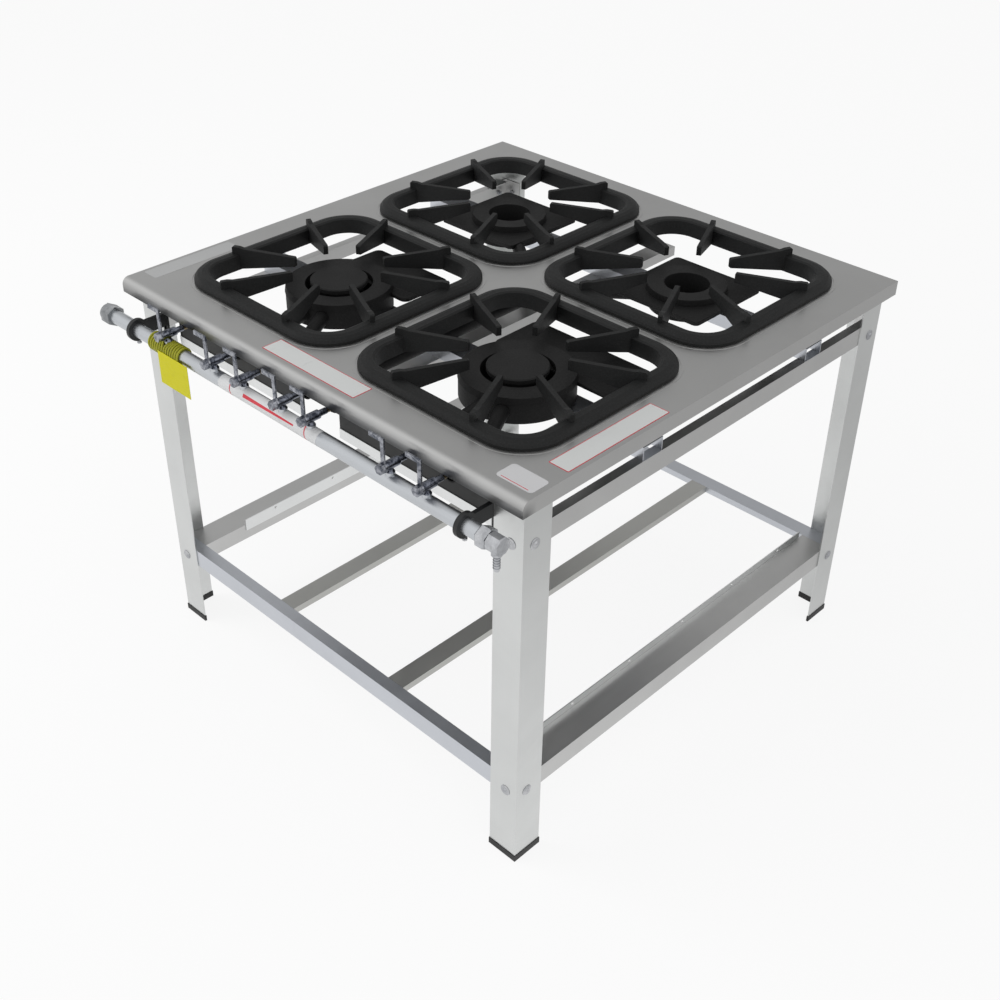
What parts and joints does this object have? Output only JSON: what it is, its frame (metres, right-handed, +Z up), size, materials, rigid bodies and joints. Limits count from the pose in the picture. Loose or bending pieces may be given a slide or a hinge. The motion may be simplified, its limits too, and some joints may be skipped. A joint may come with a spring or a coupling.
{
  "type": "gas stove",
  "caption": "Free-standing gas stove with a rolled steel top, open folded-sheet frame, cast iron grates and burners, and a front gas tube with lever valves.",
  "frame": {"origin": "the middle of the bounding box, on the floor", "axes": "+Z up, -Y towards the front with the gas tube and levers, +X to the right seen from the front"},
  "size_m": [1.045, 1.08, 0.8291],
  "materials": {
    "plate_steel": "satin",
    "frame_steel": "satin",
    "rail_steel": "satin",
    "dark_panel": "satin",
    "black_paint": "satin",
    "cast_iron": "matte",
    "tube_chrome": "polished",
    "bolt_chrome": "polished",
    "brass": "satin",
    "black_plastic": "matte",
    "yellow_plastic": "gloss"
  },
  "bodies": {
    "frame": {"top_plate": "plate_steel", "leg_front_left": "frame_steel", "leg_front_right": "frame_steel", "leg_rear_left": "frame_steel", "leg_rear_right": "frame_steel", "shoe_front_left": "black_plastic", "shoe_front_right": "black_plastic", "shoe_rear_left": "black_plastic", "shoe_rear_right": "black_plastic", "lower_rail_front": "frame_steel", "lower_rail_rear": "frame_steel", "lower_rail_left": "frame_steel", "lower_rail_right": "frame_steel", "lower_edge_strips": "frame_steel", "slat_left": "frame_steel", "slat_right": "frame_steel", "upper_rail_left": "rail_steel", "upper_rail_right": "rail_steel", "centre_rail": "rail_steel", "bar_front": "rail_steel", "bar_rear": "rail_steel", "front_tie": "rail_steel", "front_panel_left": "dark_panel", "front_panel_right": "dark_panel", "front_panel_strips": "frame_steel", "lower_bolts": "bolt_chrome", "upper_bolts": "bolt_chrome", "burner_front_left": "cast_iron", "burner_front_right": "cast_iron", "burner_rear_left": "cast_iron", "burner_rear_right": "cast_iron", "gas_tube": "tube_chrome", "end_cap": "tube_chrome", "hose_elbow": "tube_chrome", "bracket_left": "black_paint", "bracket_right": "black_paint", "bracket_screws": "bolt_chrome", "valve_1": "tube_chrome", "valve_2": "tube_chrome", "valve_3": "tube_chrome", "valve_4": "tube_chrome", "valve_5": "tube_chrome", "valve_6": "tube_chrome", "valve_7": "tube_chrome", "injectors": "brass", "tag_spiral": "yellow_plastic", "tag": "yellow_plastic"},
    "grate_front_left": {"grate_front_left": "cast_iron"},
    "grate_front_right": {"grate_front_right": "cast_iron"},
    "grate_rear_left": {"grate_rear_left": "cast_iron"},
    "grate_rear_right": {"grate_rear_right": "cast_iron"},
    "cap_front_left": {"cap_front_left": "cast_iron"},
    "cap_front_right": {"cap_front_right": "cast_iron"},
    "lever_1": {"lever_1": "bolt_chrome"},
    "lever_2": {"lever_2": "bolt_chrome"},
    "lever_3": {"lever_3": "bolt_chrome"},
    "lever_4": {"lever_4": "bolt_chrome"},
    "lever_5": {"lever_5": "bolt_chrome"},
    "lever_6": {"lever_6": "bolt_chrome"},
    "lever_7": {"lever_7": "bolt_chrome"}
  },
  "joints": [
    {"name": "grate_lift_front_left", "type": "slide", "parent": "frame", "child": "grate_front_left", "axis": [0, 0, 1], "range_m": [0, 0.2]},
    {"name": "grate_lift_front_right", "type": "slide", "parent": "frame", "child": "grate_front_right", "axis": [0, 0, 1], "range_m": [0, 0.2]},
    {"name": "grate_lift_rear_left", "type": "slide", "parent": "frame", "child": "grate_rear_left", "axis": [0, 0, 1], "range_m": [0, 0.2]},
    {"name": "grate_lift_rear_right", "type": "slide", "parent": "frame", "child": "grate_rear_right", "axis": [0, 0, 1], "range_m": [0, 0.2]},
    {"name": "cap_lift_front_left", "type": "slide", "parent": "frame", "child": "cap_front_left", "axis": [0, 0, 1], "range_m": [0, 0.15]},
    {"name": "cap_lift_front_right", "type": "slide", "parent": "frame", "child": "cap_front_right", "axis": [0, 0, 1], "range_m": [0, 0.15]},
    {"name": "lever_turn_1", "type": "hinge", "parent": "frame", "child": "lever_1", "pos_m": [-0.3185, -0.524, 0.766], "axis": [0, 1, 0], "range_deg": [0, 90]},
    {"name": "lever_turn_2", "type": "hinge", "parent": "frame", "child": "lever_2", "pos_m": [-0.1795, -0.524, 0.766], "axis": [0, 1, 0], "range_deg": [0, 90]},
    {"name": "lever_turn_3", "type": "hinge", "parent": "frame", "child": "lever_3", "pos_m": [-0.0955, -0.524, 0.766], "axis": [0, 1, 0], "range_deg": [0, 90]},
    {"name": "lever_turn_4", "type": "hinge", "parent": "frame", "child": "lever_4", "pos_m": [0.0095, -0.524, 0.766], "axis": [0, 1, 0], "range_deg": [0, 90]},
    {"name": "lever_turn_5", "type": "hinge", "parent": "frame", "child": "lever_5", "pos_m": [0.0825, -0.524, 0.766], "axis": [0, 1, 0], "range_deg": [0, 90]},
    {"name": "lever_turn_6", "type": "hinge", "parent": "frame", "child": "lever_6", "pos_m": [0.2735, -0.524, 0.766], "axis": [0, 1, 0], "range_deg": [0, 90]},
    {"name": "lever_turn_7", "type": "hinge", "parent": "frame", "child": "lever_7", "pos_m": [0.3555, -0.524, 0.766], "axis": [0, 1, 0], "range_deg": [0, 90]}
  ]
}
